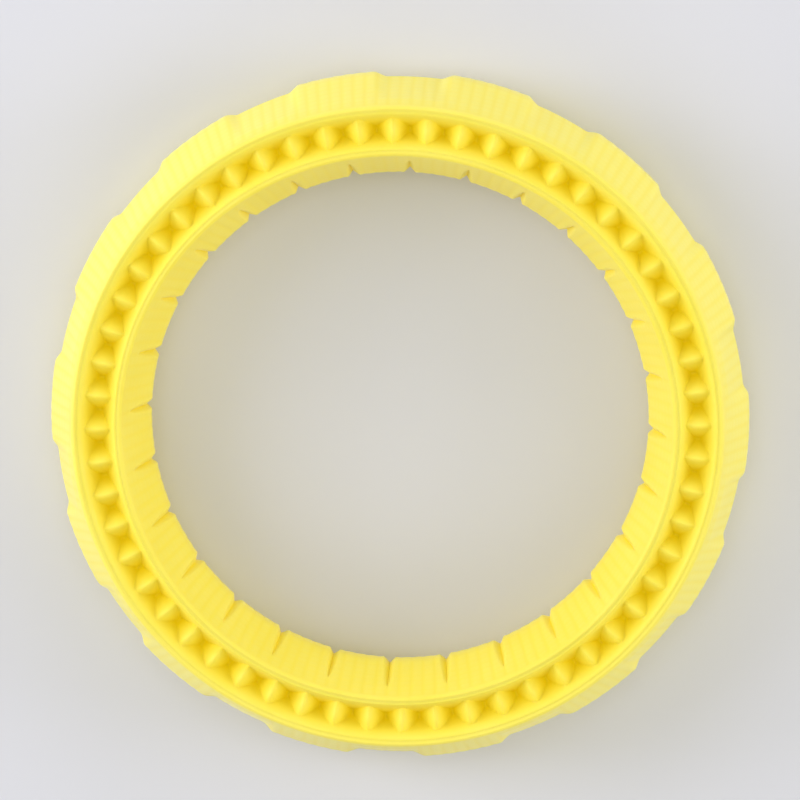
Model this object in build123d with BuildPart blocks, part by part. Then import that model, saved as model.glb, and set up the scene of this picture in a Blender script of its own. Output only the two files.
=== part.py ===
"""Flying ring: a lobed soft ring with a toothed track on each face, round a foam core.

The ring lies flat. +Z is its axis, and the origin is the centre of the plane that it rests on.
+X runs through the middle of an outer lobe. Angles repeat every 360 / LOBES degrees.
All sizes are in millimetres. Heights in the profiles are measured from the parting plane.
"""
from build123d import *
from math import atan2, acos, cos, degrees, hypot, radians, sin
import os

# ---- driving dimensions --------------------------------------------------------------------
OUTER_R = 100.0          # over the lobes, at the parting plane
INNER_R = 71.0           # of the opening, at the parting plane
HALF_HEIGHT = 18.0       # parting plane to the rim that the ring rests on
EDGE_R = 8.0             # rounding of the widest and the narrowest edge
OUTER_RIM_R = 92.9       # outer flank meets the rim plane here, before its edge is rounded
INNER_RIM_R = 78.8       # inner flank meets the rim plane here, before its edge is rounded
RIM_FILLET = 1.0

LOBES = 14               # raised pads round the outside
RECESS_DEPTH = 1.3       # of the dips between the lobes, at the parting plane
RECESS_FADE = 14.0       # height at which a dip has run out into the flank
RECESS_FLOOR_DEG = 9.5   # angle of a dip's floor
RECESS_MOUTH_DEG = 12.4  # angle of a dip across its sloped ends

NOTCHES = 28             # V notches round the inside
NOTCH_DEPTH = 1.7        # at the parting plane
NOTCH_WIDTH = 3.2        # at the parting plane
NOTCH_FADE = 13.0        # height at which a notch has run out into the flank

TEETH = 56               # on each face
GROOVE_OUTER_R = 91.6    # seat of a tooth ring in its shell
GROOVE_INNER_R = 80.0
GROOVE_FLOOR = 10.0      # height of the seat's floor
SEAT_CLEARANCE = 0.1     # between a tooth ring and the sides of its seat
LAND_DROP = 0.2          # tooth ring's lands lie this much under the rim
MOUTH_OUTER_R = 90.6     # tooth track, across its lips
MOUTH_INNER_R = 80.9
CREST_OUTER_R = 89.5     # ends of each tooth's crest
CREST_INNER_R = 82.0
CREST_HEIGHT = 16.8      # crest of a tooth, from the parting plane
CREST_WIDTH = 0.9
PIT_HEIGHT = 12.2        # bottom of a pit, from the parting plane
PIT_OUTER_R = 87.0
PIT_INNER_R = 84.0
PIT_WIDTH = 0.8

SKIN = 3.4               # shell wall, square to its flank
WEB_UNDERSIDE = 7.5      # height of the underside of the seat's floor
TONGUE_WIDTH = 0.9       # locating tongues on the parting faces
TONGUE_HEIGHT = 1.1
OUTER_TONGUE_R = 97.4    # mid-line of the outer tongue
INNER_TONGUE_R = 73.6    # mid-line of the inner tongue
FIT_GAP = 0.1            # round a tongue in its slot
CORE_GAP = 0.2           # between the foam core and the shells

PARTING = Plane.XY.offset(HALF_HEIGHT)
SECTION = Plane(origin=(0, 0, HALF_HEIGHT), x_dir=(1, 0, 0), z_dir=(0, -1, 0))


# ---- section geometry: radius along local x, height above the parting plane along local y --
def flank_angle(edge_x, rim_x):
    """Angle between the axis and the straight flank, which is tangent to the edge's arc.

    Both arguments are radial distances from the arc's centre, positive away from the core.
    """
    reach = hypot(rim_x, HALF_HEIGHT)
    return degrees(atan2(HALF_HEIGHT, rim_x) - acos(edge_x / reach))


OUTER_FLANK = flank_angle(EDGE_R, OUTER_RIM_R - (OUTER_R - EDGE_R))
INNER_FLANK = flank_angle(EDGE_R, (INNER_R + EDGE_R) - INNER_RIM_R)


def outer_flank_r(height):
    """Radius of the outer face at a height above its rounded edge."""
    slope = radians(OUTER_FLANK)
    return OUTER_R - EDGE_R + (EDGE_R - height * sin(slope)) / cos(slope)


def inner_flank_r(height):
    """Radius of the inner face at a height above its rounded edge."""
    slope = radians(INNER_FLANK)
    return INNER_R + EDGE_R - (EDGE_R - height * sin(slope)) / cos(slope)


def cavity_corners(gap):
    """Corners of the upper half of the core's space, drawn in by a gap on every side."""
    outer_wall = SKIN / cos(radians(OUTER_FLANK))
    inner_wall = SKIN / cos(radians(INNER_FLANK))
    return [
        (INNER_R + SKIN + gap, 0),
        (inner_flank_r(WEB_UNDERSIDE) + inner_wall + gap, WEB_UNDERSIDE - gap),
        (outer_flank_r(WEB_UNDERSIDE) - outer_wall - gap, WEB_UNDERSIDE - gap),
        (OUTER_R - SKIN - gap, 0),
    ]


def point_at(radius, angle):
    """Plan point at a radius and an angle in degrees."""
    return (radius * cos(radians(angle)), radius * sin(radians(angle)))


# ---- cutters that shape the shells ----------------------------------------------------------
with BuildPart() as recess_cutter:
    # The floor falls from the parting plane to the flank, so the dip fades towards the rim.
    with BuildSketch(SECTION):
        with BuildLine():
            Polyline(
                (OUTER_R - RECESS_DEPTH, 0),
                (outer_flank_r(RECESS_FADE), RECESS_FADE),
                (OUTER_R + RECESS_DEPTH, RECESS_FADE),
                (OUTER_R + RECESS_DEPTH, 0),
                close=True,
            )
        make_face()
    revolve(axis=Axis.Z)
    # In plan the dip is an angle about the axis, with its mouth flared to soften its ends.
    half_floor, half_mouth = RECESS_FLOOR_DEG / 2, RECESS_MOUTH_DEG / 2
    flare = (half_mouth - half_floor) / RECESS_DEPTH
    far_r = OUTER_R + 2 * RECESS_DEPTH
    far_half = half_floor + flare * (far_r - OUTER_R + RECESS_DEPTH)
    with BuildSketch(PARTING):
        with BuildLine():
            Polyline(
                point_at(OUTER_RIM_R / 2, -half_floor),
                point_at(OUTER_R - RECESS_DEPTH, -half_floor),
                point_at(far_r, -far_half),
                point_at(far_r + RECESS_DEPTH, 0),
                point_at(far_r, far_half),
                point_at(OUTER_R - RECESS_DEPTH, half_floor),
                point_at(OUTER_RIM_R / 2, half_floor),
                close=True,
            )
        make_face()
    extrude(amount=RECESS_FADE, mode=Mode.INTERSECT)

with BuildPart() as notch_cutter:
    # A V in plan, swept up and outwards until its point meets the flank.
    back = 2 * NOTCH_DEPTH
    with BuildSketch(PARTING):
        with BuildLine():
            Polyline(
                (INNER_R + NOTCH_DEPTH, 0),
                (INNER_R + NOTCH_DEPTH - back, NOTCH_WIDTH),
                (INNER_R + NOTCH_DEPTH - back, -NOTCH_WIDTH),
                close=True,
            )
        make_face()
    rise = Vector(inner_flank_r(NOTCH_FADE) - INNER_R - NOTCH_DEPTH, 0, NOTCH_FADE)
    extrude(amount=rise.length, dir=rise.normalized())

# ---- the half shell that both shells are made from ------------------------------------------
with BuildPart() as half_shell:
    with BuildSketch(SECTION):
        with BuildLine():
            outer_edge = JernArc((OUTER_R, 0), (0, 1), EDGE_R, OUTER_FLANK)
            inner_edge = JernArc((INNER_R, 0), (0, 1), EDGE_R, -INNER_FLANK)
            Polyline(
                outer_edge @ 1,
                (OUTER_RIM_R, HALF_HEIGHT),
                (GROOVE_OUTER_R, HALF_HEIGHT),
                (GROOVE_OUTER_R, GROOVE_FLOOR),
                (GROOVE_INNER_R, GROOVE_FLOOR),
                (GROOVE_INNER_R, HALF_HEIGHT),
                (INNER_RIM_R, HALF_HEIGHT),
                inner_edge @ 1,
            )
            Polyline((INNER_R, 0), *cavity_corners(0), (OUTER_R, 0))
        section = make_face()
        on_rim = section.vertices().filter_by_position(Axis.Y, HALF_HEIGHT, HALF_HEIGHT)
        rim_corners = on_rim.sort_by(Axis.X)
        fillet([rim_corners[0], rim_corners[-1]], radius=RIM_FILLET)
    revolve(axis=Axis.Z)
    with PolarLocations(0, LOBES, start_angle=180 / LOBES):
        add(recess_cutter.part, mode=Mode.SUBTRACT)
    with PolarLocations(0, NOTCHES):
        add(notch_cutter.part, mode=Mode.SUBTRACT)


def tongue_sketch(gap):
    """Sections of both locating tongues, drawn out by a gap, hanging under the parting plane."""
    depth = TONGUE_HEIGHT + gap
    with BuildSketch(SECTION) as sketch:
        with Locations((OUTER_TONGUE_R, 0), (INNER_TONGUE_R, 0)):
            Rectangle(TONGUE_WIDTH + 2 * gap, depth, align=(Align.CENTER, Align.MAX))
    return sketch.sketch


# ---- shells ---------------------------------------------------------------------------------
with BuildPart() as upper_shell:
    add(half_shell.part)
    revolve(tongue_sketch(0), axis=Axis.Z)
upper_shell.part.label = "upper_shell"

with BuildPart() as lower_shell:
    add(half_shell.part)
    mirror(about=PARTING, mode=Mode.REPLACE)
    revolve(tongue_sketch(FIT_GAP), axis=Axis.Z, mode=Mode.SUBTRACT)
lower_shell.part.label = "lower_shell"

# ---- foam core ------------------------------------------------------------------------------
with BuildPart() as foam_core:
    with BuildSketch(SECTION):
        with BuildLine():
            Polyline(*cavity_corners(CORE_GAP), close=True)
        make_face()
        mirror(about=Plane.XZ)
    revolve(axis=Axis.Z)
foam_core.part.label = "foam_core"

# ---- tooth rings ----------------------------------------------------------------------------
with BuildPart() as pit_cutter:
    # A pit narrows from the crests round it to a small floor.
    pitch = 360 / TEETH
    rim_half = {r: pitch / 2 - degrees(CREST_WIDTH / 2 / r) for r in (CREST_INNER_R, CREST_OUTER_R)}
    with BuildSketch(PARTING.offset(CREST_HEIGHT)):
        with BuildLine():
            Polyline(
                point_at(CREST_INNER_R, -rim_half[CREST_INNER_R]),
                point_at(CREST_OUTER_R, -rim_half[CREST_OUTER_R]),
                point_at(CREST_OUTER_R, rim_half[CREST_OUTER_R]),
                point_at(CREST_INNER_R, rim_half[CREST_INNER_R]),
                close=True,
            )
        make_face()
    with BuildSketch(PARTING.offset(PIT_HEIGHT)):
        with Locations(((PIT_INNER_R + PIT_OUTER_R) / 2, 0)):
            Rectangle(PIT_OUTER_R - PIT_INNER_R, PIT_WIDTH)
    loft()

with BuildPart() as upper_tooth_ring:
    land = HALF_HEIGHT - LAND_DROP
    with BuildSketch(SECTION):
        with BuildLine():
            Polyline(
                (GROOVE_INNER_R + SEAT_CLEARANCE, GROOVE_FLOOR),
                (GROOVE_INNER_R + SEAT_CLEARANCE, land),
                (MOUTH_INNER_R, land),
                (CREST_INNER_R, CREST_HEIGHT),
                (CREST_OUTER_R, CREST_HEIGHT),
                (MOUTH_OUTER_R, land),
                (GROOVE_OUTER_R - SEAT_CLEARANCE, land),
                (GROOVE_OUTER_R - SEAT_CLEARANCE, GROOVE_FLOOR),
                close=True,
            )
        make_face()
    revolve(axis=Axis.Z)
    with PolarLocations(0, TEETH):
        add(pit_cutter.part, mode=Mode.SUBTRACT)
upper_tooth_ring.part.label = "upper_tooth_ring"

with BuildPart() as lower_tooth_ring:
    add(upper_tooth_ring.part)
    mirror(about=PARTING, mode=Mode.REPLACE)
lower_tooth_ring.part.label = "lower_tooth_ring"

# ---- one file for each piece ----------------------------------------------------------------
os.makedirs("parts", exist_ok=True)
export_step(upper_shell.part, "parts/upper_shell.step")
export_step(lower_shell.part, "parts/lower_shell.step")
export_step(foam_core.part, "parts/foam_core.step")
export_step(upper_tooth_ring.part, "parts/upper_tooth_ring.step")
export_step(lower_tooth_ring.part, "parts/lower_tooth_ring.step")
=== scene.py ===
"""Looks of the flying ring: detailed soft-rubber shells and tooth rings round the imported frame.

The ring's lengths are millimetres, and its heights are measured from the parting plane. Radii and
heights that the CAD fixes are read from the frame. Lamps and the camera are placed in metres.
"""

import math

import bpy
import numpy as np
from mathutils import Matrix, Vector


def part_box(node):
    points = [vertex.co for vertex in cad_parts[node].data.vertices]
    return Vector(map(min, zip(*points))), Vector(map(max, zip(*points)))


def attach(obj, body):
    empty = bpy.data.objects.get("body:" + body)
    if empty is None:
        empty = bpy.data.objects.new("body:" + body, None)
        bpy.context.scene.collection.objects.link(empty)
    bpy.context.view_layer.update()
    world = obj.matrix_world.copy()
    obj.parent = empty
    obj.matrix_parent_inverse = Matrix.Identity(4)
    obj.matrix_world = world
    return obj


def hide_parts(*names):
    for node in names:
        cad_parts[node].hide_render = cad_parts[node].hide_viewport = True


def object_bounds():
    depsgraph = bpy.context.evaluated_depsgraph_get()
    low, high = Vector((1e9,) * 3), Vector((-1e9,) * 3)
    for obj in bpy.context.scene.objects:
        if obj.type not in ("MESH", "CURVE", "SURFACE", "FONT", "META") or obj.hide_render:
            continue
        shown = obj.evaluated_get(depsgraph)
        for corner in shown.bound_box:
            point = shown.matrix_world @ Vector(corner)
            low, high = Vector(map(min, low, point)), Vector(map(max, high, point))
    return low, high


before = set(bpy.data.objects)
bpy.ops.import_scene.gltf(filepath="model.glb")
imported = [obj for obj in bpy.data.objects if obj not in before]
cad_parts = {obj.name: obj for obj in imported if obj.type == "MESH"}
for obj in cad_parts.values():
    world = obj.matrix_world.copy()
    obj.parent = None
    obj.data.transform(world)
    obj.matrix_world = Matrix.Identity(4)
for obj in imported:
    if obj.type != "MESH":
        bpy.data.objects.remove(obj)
cad_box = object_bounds()

MM = 0.001


# ---- sizes read from the frame ---------------------------------------------------------------
def node_radii(node):
    """Smallest and largest distance of a CAD node from the axis, in millimetres."""
    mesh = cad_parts[node].data
    points = np.empty(len(mesh.vertices) * 3)
    mesh.vertices.foreach_get("co", points)
    points = points.reshape(-1, 3)
    radii = np.hypot(points[:, 0], points[:, 1]) / MM
    return radii.min(), radii.max()


INNER_R, OUTER_R = node_radii("lower_shell")
SEAT_INNER_R, SEAT_OUTER_R = node_radii("upper_tooth_ring")
PARTING_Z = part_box("lower_shell")[1].z / MM
RIM = cad_box[1].z / MM - PARTING_Z
SEAT_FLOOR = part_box("upper_tooth_ring")[0].z / MM - PARTING_Z
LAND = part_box("upper_tooth_ring")[1].z / MM - PARTING_Z
TONGUE = PARTING_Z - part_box("upper_shell")[0].z / MM

# ---- the shells ------------------------------------------------------------------------------
EDGE_R = 8.0                          # rounding of the widest and the narrowest edge
OUTER_RIM_R, INNER_RIM_R = 92.9, 78.8
RIM_FILLET = 1.0
PARTING_ROUND = 0.15                  # how far the shells' edges draw back where they meet

LOBES, RECESS_DEPTH, RECESS_FADE = 14, 1.3, 14.0
RECESS_FLOOR_DEG, RECESS_MOUTH_DEG = 8.8, 13.2
NOTCHES, NOTCH_DEPTH, NOTCH_WIDTH, NOTCH_FADE = 28, 1.7, 3.2, 13.0
NOTCH_BLEND = 0.12                    # rounding where a notch meets the flank
NOTCH_CLEAR = 10.0                    # lifts the notch's surface off the flank past its end

WALL_TOP = [(74.4, 0.0), (77.65, 7.5), (93.5, 7.5), (96.6, 0.0)]    # space for the foam core
OUTER_TONGUE, INNER_TONGUE = (96.95, 97.85), (73.15, 74.05)
SLOT_DEPTH_GAP = 0.1

# ---- the seam between a shell and its tooth ring ---------------------------------------------
# Each brow goes towards the seam: distance from it, drop, and share of the painted shade.
SEAM_GAP, SEAM_FROM_RIM = 0.01, 0.22
# painted shade along the crease at the seam
SEAM_SHADE = 0.08
SHELL_BROW = [(0.70, 0.02, 0.0), (0.35, 0.10, 0.03), (0.0, SEAM_FROM_RIM, SEAM_SHADE)]
TOOTH_BROW = [(0.60, 0.0, 0.0), (0.30, 0.01, 0.03),
              (0.0, SEAM_FROM_RIM - (RIM - LAND), SEAM_SHADE)]

# ---- the tooth tracks ------------------------------------------------------------------------
TEETH = 56
MOUTH_INNER_R, MOUTH_OUTER_R = 80.95, 90.55
PIT_INNER_R, PIT_OUTER_R, PIT_HEIGHT = 84.0, 87.0, 12.2
PIT_EXTRA = 1.1                       # how far the pits' walls converge under PIT_HEIGHT
WALL_BLEND, PIT_BLEND, LIP_BLEND, RIDGE_BLEND = 0.6, 0.7, 1.0, 0.5
CREST_TOP, CREST_DROP, CREST_HALF_LENGTH = 17.0, 1.1, 3.5
CREST_BLUNT, FOOT = 0.17, 0.80        # shares of half the tooth pitch, from the crest
TOOTH_COLUMNS = 24                    # mesh columns for each tooth
TRACK_ROWS, TRACK_MARGIN = 33, 0.1

# ---- moulded texture of the flanks -----------------------------------------------------------
COLUMNS = 1260                        # mesh columns round a shell
OUTER_PADS, INNER_PADS = 180, 140
PAD_ROWS = 8
PAD_GROOVE, PAD_CROSS = 0.11, 0.06
PAD_START = 0.6
PAD_EDGES = (0.0, 0.3, 0.7)           # the hollow and the pad's two edges, as shares of a row
FILLET_STEPS = 2
PAD_SHADE, NOTCH_SHADE = 0.4, 0.7     # how far the hollows take the painted shade

SHARP_ANGLE = math.radians(40)


# ---- small maths -----------------------------------------------------------------------------
def smooth_step(x):
    x = np.clip(x, 0.0, 1.0)
    return x * x * (3.0 - 2.0 * x)


def smooth_max(a, b, k):
    h = np.clip(0.5 + 0.5 * (a - b) / k, 0.0, 1.0)
    return b + (a - b) * h + k * h * (1.0 - h)


def smooth_min(a, b, k):
    return -smooth_max(-a, -b, k)


def wrap(angle, period):
    """Angle measured from the nearest multiple of the period."""
    return (angle + period / 2) % period - period / 2


# ---- meshes ----------------------------------------------------------------------------------
def plain_row(columns, radius, height, shade=0.0):
    """A row of the section that is the same at every angle."""
    ones = np.ones(columns)
    return radius * ones, height * ones, shade * ones


def ring_mesh(name, rows, side):
    """A closed ring mesh from section loops, one for each angle.

    rows holds the radii, heights and painted shade of each point of the section, with a column for
    each angle. The painted shade is the share of the deeper yellow that stands for shade in the
    hollows. side is +1 above the parting plane and -1 for the mirrored piece under it.
    """
    radii, heights, painted_shade = (np.array([row[k] for row in rows]) for k in range(3))
    count, columns = radii.shape
    angles = np.arange(columns) * 2 * math.pi / columns
    points = np.stack(
        [
            radii * np.cos(angles),
            radii * np.sin(angles),
            PARTING_Z + side * heights,
        ],
        axis=-1,
    )
    row, column = np.meshgrid(np.arange(count), np.arange(columns), indexing="ij")
    next_row, next_column = (row + 1) % count, (column + 1) % columns
    corners = [
        row * columns + column,
        row * columns + next_column,
        next_row * columns + next_column,
        next_row * columns + column,
    ]
    if side < 0:
        corners.reverse()
    faces = np.stack(corners, axis=-1).reshape(-1, 4)
    mesh = bpy.data.meshes.new(name)
    mesh.vertices.add(count * columns)
    mesh.vertices.foreach_set("co", (points.reshape(-1) * MM).astype(np.float32))
    mesh.loops.add(faces.size)
    mesh.loops.foreach_set("vertex_index", faces.reshape(-1).astype(np.int32))
    mesh.polygons.add(len(faces))
    mesh.polygons.foreach_set("loop_start", np.arange(0, faces.size, 4, dtype=np.int32))
    mesh.update(calc_edges=True)
    mesh.validate()
    mesh.shade_smooth()
    mesh.set_sharp_from_angle(angle=SHARP_ANGLE)
    shade = mesh.attributes.new("painted_shade", "FLOAT", "POINT")
    shade.data.foreach_set("value", painted_shade.reshape(-1).astype(np.float32))
    piece = bpy.data.objects.new(name, mesh)
    bpy.context.scene.collection.objects.link(piece)
    return piece


class Flank:
    """One flank in section: the rounded edge, the straight slope and the rim's fillet.

    side is +1 for the outside and -1 for the opening.
    """

    def __init__(self, edge_r, rim_r, side):
        self.side = side
        self.centre = edge_r - side * EDGE_R
        reach = side * (rim_r - self.centre)
        self.slope = math.atan2(RIM, reach) - math.acos(EDGE_R / math.hypot(reach, RIM))
        turn = math.pi / 2 - self.slope
        self.arc_end = EDGE_R * self.slope
        start = self.radius_at(EDGE_R * math.sin(self.slope))
        length = math.hypot(start - rim_r, RIM - EDGE_R * math.sin(self.slope))
        self.line_end = self.arc_end + length - RIM_FILLET * math.tan(turn / 2)
        self.end = self.line_end + RIM_FILLET * turn
        line_r, line_z = self.along(self.line_end)[:2]
        self.fillet_r = line_r - side * RIM_FILLET * math.cos(self.slope)
        self.fillet_z = line_z - RIM_FILLET * math.sin(self.slope)
        self.pad_pitch = (self.line_end - 2 * PAD_START) / PAD_ROWS

    def radius_at(self, height):
        """Radius of the straight flank at a height."""
        offset = (EDGE_R - height * math.sin(self.slope)) / math.cos(self.slope)
        return self.centre + self.side * offset

    def along(self, s):
        """Radius, height and outward normal at a distance along the flank from the edge."""
        if s <= self.arc_end:
            turn = s / EDGE_R
            radius = self.centre + self.side * EDGE_R * math.cos(turn)
            height = EDGE_R * math.sin(turn)
        elif s <= self.line_end:
            turn = self.slope
            run = s - self.arc_end
            radius = self.centre + self.side * (EDGE_R * math.cos(turn) - run * math.sin(turn))
            height = EDGE_R * math.sin(turn) + run * math.cos(turn)
        else:
            turn = self.slope + (s - self.line_end) / RIM_FILLET
            radius = self.fillet_r + self.side * RIM_FILLET * math.cos(turn)
            height = self.fillet_z + RIM_FILLET * math.sin(turn)
        return radius, height, self.side * math.cos(turn), math.sin(turn)

    def stations(self):
        """Distances along the flank: each pad row has its hollow and the two edges of its pads."""
        pads = [
            PAD_START + self.pad_pitch * (k + part)
            for k in range(PAD_ROWS)
            for part in PAD_EDGES
        ]
        fillet = [
            self.line_end + (self.end - self.line_end) * k / FILLET_STEPS
            for k in range(FILLET_STEPS + 1)
        ]
        return [0.0, *pads, self.line_end - PAD_START, *fillet]

    def pad_relief(self, s, angles, pads):
        """Depth of the soft hollows between the moulded pads, at one row of the flank."""
        axial = (0.5 + 0.5 * np.cos(pads * angles)) ** 2
        cross = (0.5 + 0.5 * math.cos(2 * math.pi * (s - PAD_START) / self.pad_pitch)) ** 2
        fade = smooth_step(s / PAD_START) * smooth_step((self.line_end - s) / PAD_START)
        return (PAD_GROOVE * axial + PAD_CROSS * cross * (1.0 - axial)) * fade


def outer_rows(angles):
    """Rows of the outer flank, from the parting plane to the rim: radius, height, painted shade."""
    flank = Flank(OUTER_R, OUTER_RIM_R, 1)
    from_recess = np.abs(np.degrees(wrap(angles - math.pi / LOBES, 2 * math.pi / LOBES)))
    half_floor, half_mouth = RECESS_FLOOR_DEG / 2, RECESS_MOUTH_DEG / 2
    recess = 1.0 - smooth_step((from_recess - half_floor) / (half_mouth - half_floor))
    top_r = flank.radius_at(RECESS_FADE)
    rows = []
    for s in flank.stations():
        radius, height, out_r, out_z = flank.along(s)
        floor_r = OUTER_R - RECESS_DEPTH + (top_r - OUTER_R + RECESS_DEPTH) * height / RECESS_FADE
        dip = np.maximum(radius - floor_r, 0.0) * recess if height < RECESS_FADE else 0.0 * recess
        relief = flank.pad_relief(s, angles, OUTER_PADS)
        edge = PARTING_ROUND if s == 0.0 else 0.0
        rows.append(
            (
                radius - dip - (relief + edge) * out_r,
                height - relief * out_z + 0.0 * angles,
                # painted shade, deepest in the pad hollows
                PAD_SHADE * relief / PAD_GROOVE,
            )
        )
    return rows


def inner_rows(angles):
    """Rows of the inner flank, from the parting plane to the rim: radius, height, painted shade."""
    flank = Flank(INNER_R, INNER_RIM_R, -1)
    across = np.abs(wrap(angles, 2 * math.pi / NOTCHES))
    steepness = 2 * NOTCH_DEPTH / NOTCH_WIDTH
    rows = []
    for s in flank.stations():
        radius, height, out_r, out_z = flank.along(s)
        relief = flank.pad_relief(s, angles, INNER_PADS)
        plain = radius - relief * out_r + (PARTING_ROUND if s == 0.0 else 0.0)
        depth = NOTCH_DEPTH * math.sqrt(max(1.0 - (height / NOTCH_FADE) ** 2, 0.0))
        notch = radius + depth - steepness * across * radius
        if height > NOTCH_FADE:
            notch = notch - NOTCH_CLEAR
        cut = smooth_max(plain, notch, NOTCH_BLEND)
        # painted shade: the pad hollows and the notches take the deeper yellow
        pad_shade = PAD_SHADE * relief / PAD_GROOVE
        notch_shade = NOTCH_SHADE * (cut - plain) / NOTCH_DEPTH
        rows.append(
            (
                cut,
                height - relief * out_z + 0.0 * angles,
                np.clip(pad_shade + notch_shade, 0.0, 1.0),
            )
        )
    return rows


def make_shell(name, side, tongue):
    """One shell: both flanks, the rims, the seat of the tooth ring and the space for the core.

    tongue is how far the locating tongues reach past the parting plane, negative for slots.
    """
    angles = np.arange(COLUMNS) * 2 * math.pi / COLUMNS

    def plain(*corner):
        return plain_row(COLUMNS, *corner)

    def brow(seam_r, away):
        return [plain(seam_r + away * back, RIM - drop, shade) for back, drop, shade in SHELL_BROW]

    def joint(near, far):
        return [plain(near, 0.0), plain(near, -tongue), plain(far, -tongue), plain(far, 0.0)]

    groove_outer, groove_inner = SEAT_OUTER_R + SEAM_GAP, SEAT_INNER_R - SEAM_GAP
    rows = [
        *outer_rows(angles),
        *brow(groove_outer, 1),
        plain(groove_outer, SEAT_FLOOR),
        plain(groove_inner, SEAT_FLOOR),
        *brow(groove_inner, -1)[::-1],
        *inner_rows(angles)[::-1],
        *joint(*INNER_TONGUE),
        *[plain(*corner) for corner in WALL_TOP],
        *joint(*OUTER_TONGUE),
    ]
    return ring_mesh(name, rows, side)


def tooth_surface(radius, angles):
    """Height of the tooth track, and its depth as a share of PIT_HEIGHT's, at one radius; the depth
    sets the painted shade in the pits.
    """
    def wall(mouth_r, pit_r):
        return LAND - (radius - mouth_r) / (pit_r - mouth_r) * (LAND - PIT_HEIGHT)

    inner, outer = wall(MOUTH_INNER_R, PIT_INNER_R), wall(MOUTH_OUTER_R, PIT_OUTER_R)
    channel = smooth_max(inner, outer, WALL_BLEND)
    channel = smooth_max(channel, PIT_HEIGHT - PIT_EXTRA, PIT_BLEND)
    channel = smooth_min(channel, LAND, LIP_BLEND)
    middle = (MOUTH_INNER_R + MOUTH_OUTER_R) / 2
    crest = CREST_TOP - CREST_DROP * ((radius - middle) / CREST_HALF_LENGTH) ** 2
    pitch = 2 * math.pi / TEETH
    from_crest = np.abs(wrap(angles - pitch / 2, pitch)) / (pitch / 2)
    fall = (np.sqrt(from_crest**2 + CREST_BLUNT**2) - CREST_BLUNT) / (FOOT - CREST_BLUNT)
    ridge = crest - fall * (CREST_TOP - PIT_HEIGHT)
    height = smooth_max(channel + 0.0 * angles, ridge, RIDGE_BLEND)
    height = np.minimum(height, LAND)
    return height, (LAND - height) / (LAND - PIT_HEIGHT)


def make_tooth_ring(name, side):
    """One toothed insert: its lands, its crossing ridges and pits, and its plain seat."""
    columns = TEETH * TOOTH_COLUMNS
    angles = np.arange(columns) * 2 * math.pi / columns

    def plain(*corner):
        return plain_row(columns, *corner)

    def brow(seam_r, away):
        return [plain(seam_r + away * back, LAND - drop, shade) for back, drop, shade in TOOTH_BROW]

    track = np.linspace(MOUTH_INNER_R - TRACK_MARGIN, MOUTH_OUTER_R + TRACK_MARGIN, TRACK_ROWS)
    rows = [
        plain(SEAT_OUTER_R, SEAT_FLOOR),
        *brow(SEAT_OUTER_R, -1)[::-1],
        *[(radius + 0.0 * angles, *tooth_surface(radius, angles)) for radius in track[::-1]],
        *brow(SEAT_INNER_R, 1),
        plain(SEAT_INNER_R, SEAT_FLOOR),
    ]
    return ring_mesh(name, rows, side)


# ---- materials -------------------------------------------------------------------------------
RUBBER, RUBBER_LIGHT = (0.93, 0.775, 0.075, 1.0), (0.95, 0.80, 0.0975, 1.0)
# painted highlight: the paler yellow that stands for the lamps' sheen on the outer flank
RUBBER_PAINTED_SHEEN = (0.96, 0.83, 0.15, 1.0)
# painted shade: the deeper, more saturated yellow that stands for shade in hollows, pits and seams
RUBBER_PAINTED_SHADE = (0.94, 0.74, 0.004, 1.0)
RUBBER_SPECK = (0.95, 0.84, 0.10, 1.0)
PAINTED_SHEEN_FROM, PAINTED_SHEEN_TO = 0.0915, 0.0945        # metres from the axis, where the painted pale sheen of the outer flank fades in
FOAM_CELL, FOAM_WALL = (0.93, 0.90, 0.76, 1.0), (0.80, 0.75, 0.55, 1.0)
PAPER, PAPER_LIGHT = (0.66, 0.66, 0.655, 1.0), (0.68, 0.68, 0.68, 1.0)


class Nodes:
    """Builds one procedural material, node by node."""

    def __init__(self, name):
        self.material = bpy.data.materials.new(name)
        self.material.use_nodes = True
        self.tree = self.material.node_tree
        self.tree.nodes.clear()
        self.place = self.add("ShaderNodeTexCoord").outputs["Object"]

    def add(self, kind, **values):
        """A new node, with each value set on its socket or, failing that, its property."""
        node = self.tree.nodes.new(kind)
        for key, value in values.items():
            if key in node.inputs:
                node.inputs[key].default_value = value
            else:
                setattr(node, key, value)
        return node

    def link(self, source, target):
        self.tree.links.new(source, target)

    def noise(self, scale, detail, roughness=0.5):
        node = self.add("ShaderNodeTexNoise", Scale=scale, Detail=detail, Roughness=roughness)
        self.link(self.place, node.inputs["Vector"])
        return node.outputs["Fac"]

    def from_axis(self):
        """Distance from the ring's axis, in metres."""
        flat = self.add("ShaderNodeVectorMath", operation="MULTIPLY")
        self.link(self.place, flat.inputs[0])
        flat.inputs[1].default_value = (1.0, 1.0, 0.0)
        length = self.add("ShaderNodeVectorMath", operation="LENGTH")
        self.link(flat.outputs["Vector"], length.inputs[0])
        return length.outputs["Value"]

    def remap(self, value, low, high, out_low=0.0, out_high=1.0):
        node = self.add("ShaderNodeMapRange")
        self.link(value, node.inputs["Value"])
        for socket, number in zip(("From Min", "From Max", "To Min", "To Max"),
                                  (low, high, out_low, out_high)):
            node.inputs[socket].default_value = number
        return node.outputs["Result"]

    def mix(self, factor, low, high):
        """A blend of two colours, each a tuple or another node's output."""
        node = self.add("ShaderNodeMix", data_type="RGBA")
        self.link(factor, node.inputs["Factor"])
        for socket, value in ((node.inputs[6], low), (node.inputs[7], high)):    # colours A and B
            if isinstance(value, tuple):
                socket.default_value = value
            else:
                self.link(value, socket)
        return node.outputs[2]

    def bump(self, shader, height, **values):
        node = self.add("ShaderNodeBump", **values)
        self.link(height, node.inputs["Height"])
        self.link(node.outputs["Normal"], shader.inputs["Normal"])

    def finish(self, shader):
        output = self.add("ShaderNodeOutputMaterial")
        self.link(shader.outputs["BSDF"], output.inputs["Surface"])
        return self.material


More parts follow.
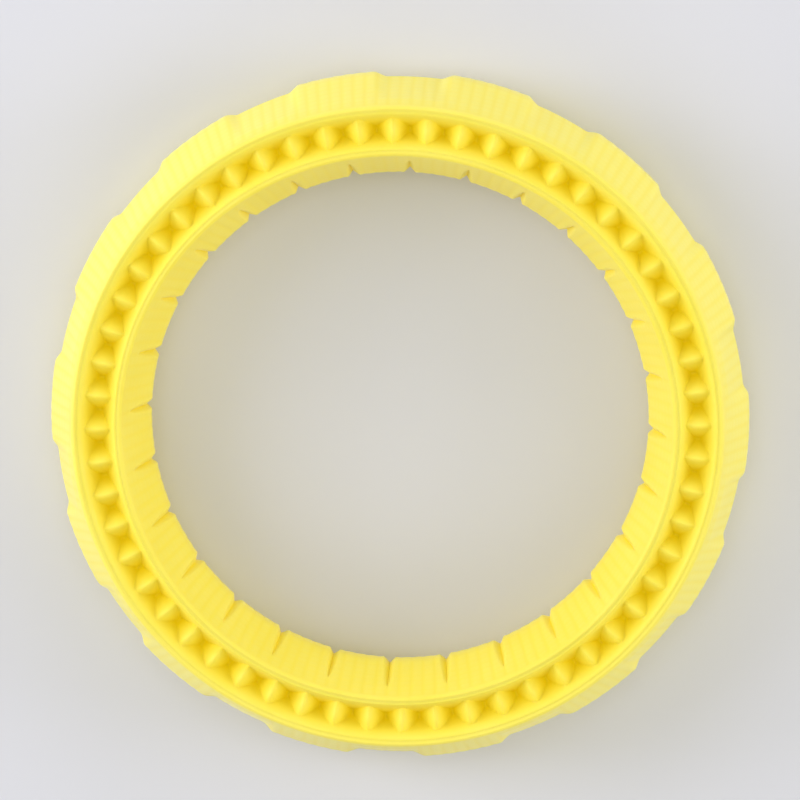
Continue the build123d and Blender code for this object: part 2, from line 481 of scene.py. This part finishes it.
def soft_rubber(name, grain, sheen, gloss):
    """Matte yellow moulded rubber: painted shade in its hollows, a painted sheen on the outer
    flank, and fine grain.
    """
    nodes = Nodes(name)
    painted_shade = nodes.add("ShaderNodeAttribute", attribute_name="painted_shade").outputs["Fac"]
    cloud = nodes.remap(nodes.noise(55.0, 4.0), 0.3, 0.7)
    fine = nodes.noise(grain, 4.0, 0.6)
    painted_sheen = nodes.remap(nodes.from_axis(), PAINTED_SHEEN_FROM, PAINTED_SHEEN_TO)
    colour = nodes.mix(cloud, RUBBER, RUBBER_LIGHT)
    # painted highlight: the outer flank turns paler with distance from the axis
    colour = nodes.mix(painted_sheen, colour, RUBBER_PAINTED_SHEEN)
    # painted shade: hollows, pits and seams take the deeper yellow by their painted shade share
    colour = nodes.mix(nodes.remap(painted_shade, 0.1, 1.1), colour, RUBBER_PAINTED_SHADE)
    colour = nodes.mix(nodes.remap(fine, 0.62, 0.80, 0.0, 0.30), colour, RUBBER_SPECK)
    shader = nodes.add("ShaderNodeBsdfPrincipled")
    shader.inputs["Subsurface Weight"].default_value = 0.3
    shader.inputs["Subsurface Radius"].default_value = (1.0, 0.9, 0.3)
    shader.inputs["Subsurface Scale"].default_value = 0.0012
    shader.inputs["Specular IOR Level"].default_value = gloss
    shader.inputs["Sheen Weight"].default_value = sheen
    shader.inputs["Sheen Roughness"].default_value = 0.45
    nodes.link(colour, shader.inputs["Base Color"])
    nodes.link(nodes.remap(fine, 0.25, 0.75, 0.44, 0.56), shader.inputs["Roughness"])
    nodes.bump(shader, fine, Strength=0.22, Distance=0.00012)
    return nodes.finish(shader)


def cell_foam(name):
    """Cream closed-cell foam: small cells that dimple its cut faces."""
    nodes = Nodes(name)
    cells = nodes.add("ShaderNodeTexVoronoi", Scale=900.0)
    nodes.link(nodes.place, cells.inputs["Vector"])
    distance = cells.outputs["Distance"]
    colour = nodes.mix(nodes.remap(distance, 0.0, 0.6), FOAM_CELL, FOAM_WALL)
    shader = nodes.add("ShaderNodeBsdfPrincipled", Roughness=0.85)
    nodes.link(colour, shader.inputs["Base Color"])
    nodes.bump(shader, distance, Strength=0.6, Distance=0.0004, invert=True)
    return nodes.finish(shader)


def studio_floor(name):
    """Pale matte paper, with the faintest tone."""
    nodes = Nodes(name)
    tone = nodes.remap(nodes.noise(6.0, 2.0), 0.3, 0.7)
    shader = nodes.add("ShaderNodeBsdfPrincipled", Roughness=0.9)
    nodes.link(nodes.mix(tone, PAPER, PAPER_LIGHT), shader.inputs["Base Color"])
    return nodes.finish(shader)


# ---- pieces ----------------------------------------------------------------------------------
def place_pieces():
    """The four moulded pieces, each in place of its CAD node, and the foam core's material."""
    shell_rubber = soft_rubber("shell_rubber", grain=1500.0, sheen=0.18, gloss=0.3)
    tooth_rubber = soft_rubber("tooth_rubber", grain=1800.0, sheen=0.06, gloss=0.22)
    made = [
        (make_shell("upper_shell_moulding", 1, TONGUE), "upper_shell", "shell", shell_rubber),
        (make_shell("lower_shell_moulding", -1, -TONGUE - SLOT_DEPTH_GAP),
         "lower_shell", "shell", shell_rubber),
        (make_tooth_ring("upper_tooth_track", 1), "upper_tooth_ring", "teeth", tooth_rubber),
        (make_tooth_ring("lower_tooth_track", -1), "lower_tooth_ring", "teeth", tooth_rubber),
    ]
    for piece, node, slot, material in made:
        piece.data.materials.append(material)
        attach(piece, "root")
        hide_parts(node)
    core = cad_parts["foam_core"]
    foam = cell_foam("closed_cell_foam")
    for material_slot in core.material_slots:
        material_slot.material = foam


# ---- floor, light and camera -----------------------------------------------------------------
FLOOR_HALF = 3.0
WHITE, COOL = (1.0, 1.0, 1.0), (0.94, 0.97, 1.28)
LAMPS = [                             # name, place, size, power, colour
    ("key_left", (-1.1, 0.3, 0.9), 0.7, 4.0, COOL),
    ("key_left_low", (-1.3, 0.2, 0.40), 0.7, 7.0, COOL),
    ("fill_right", (1.1, 0.1, 0.9), 0.7, 1.6, WHITE),
    ("fill_right_low", (1.3, 0.1, 0.45), 0.7, 5.6, COOL),
    ("rear_low", (0.0, 1.3, 0.4), 0.7, 3.0, COOL),
    ("front", (0.0, -1.1, 0.9), 0.7, 2.4, WHITE),
    ("overhead", (0.0, 0.35, 1.5), 0.8, 3.6, WHITE),
]
SKY = (1.0, 0.985, 0.92, 1.0)
SKY_FRONT, SKY_REAR = 0.46, 0.56

CAMERA_DISTANCE, CAMERA_FAR = 3.0, 20.0
LENS, SENSOR = 472.0, 36.0            # millimetres
TILT, YAW, ROLL = 11.6, 2.6, 2.86     # degrees
RISE = 4.5                            # of the aim point over the ring's middle, in millimetres


def make_floor():
    mesh = bpy.data.meshes.new("floor")
    half = FLOOR_HALF
    mesh.from_pydata(
        [(-half, -half, 0.0), (half, -half, 0.0), (half, half, 0.0), (-half, half, 0.0)],
        [], [(0, 1, 2, 3)],
    )
    floor = bpy.data.objects.new("floor", mesh)
    bpy.context.scene.collection.objects.link(floor)
    mesh.materials.append(studio_floor("floor_paper"))


def make_sky():
    """A pale surround, a little brighter behind the ring than in front of it."""
    world = bpy.data.worlds.new("studio")
    world.use_nodes = True
    tree = world.node_tree
    background = tree.nodes["Background"]
    background.inputs["Color"].default_value = SKY
    direction = tree.nodes.new("ShaderNodeTexCoord")
    parts = tree.nodes.new("ShaderNodeSeparateXYZ")
    level = tree.nodes.new("ShaderNodeMapRange")
    level.inputs["From Min"].default_value = -1.0
    level.inputs["To Min"].default_value = SKY_FRONT
    level.inputs["To Max"].default_value = SKY_REAR
    tree.links.new(direction.outputs["Generated"], parts.inputs["Vector"])
    tree.links.new(parts.outputs["Y"], level.inputs["Value"])
    tree.links.new(level.outputs["Result"], background.inputs["Strength"])
    bpy.context.scene.world = world


def make_lamps():
    """Round soft lamps, each turned to face the origin."""
    for name, place, size, power, colour in LAMPS:
        light = bpy.data.lights.new(name, "AREA")
        light.shape = "DISK"
        light.size = size
        light.energy = power
        light.color = colour
        lamp = bpy.data.objects.new(name, light)
        lamp.location = place
        lamp.rotation_euler = Vector(place).to_track_quat("Z", "Y").to_euler()
        bpy.context.scene.collection.objects.link(lamp)


def make_camera():
    camera_data = bpy.data.cameras.new("camera")
    camera_data.lens = LENS
    camera_data.sensor_width = SENSOR
    camera_data.clip_end = CAMERA_FAR
    camera = bpy.data.objects.new("camera", camera_data)
    turn = (
        Matrix.Rotation(math.radians(ROLL), 4, "Z")
        @ Matrix.Rotation(math.radians(-TILT), 4, "X")
        @ Matrix.Rotation(math.radians(YAW), 4, "Y")
    )
    middle = Vector((0.0, 0.0, PARTING_Z * MM))
    offset = Vector((0.0, RISE * MM, CAMERA_DISTANCE))
    camera.matrix_world = Matrix.Translation(middle + turn.to_3x3() @ offset) @ turn
    bpy.context.scene.collection.objects.link(camera)
    bpy.context.scene.camera = camera


place_pieces()
make_floor()
make_sky()
make_lamps()
make_camera()
bpy.context.scene.view_settings.view_transform = "Standard"
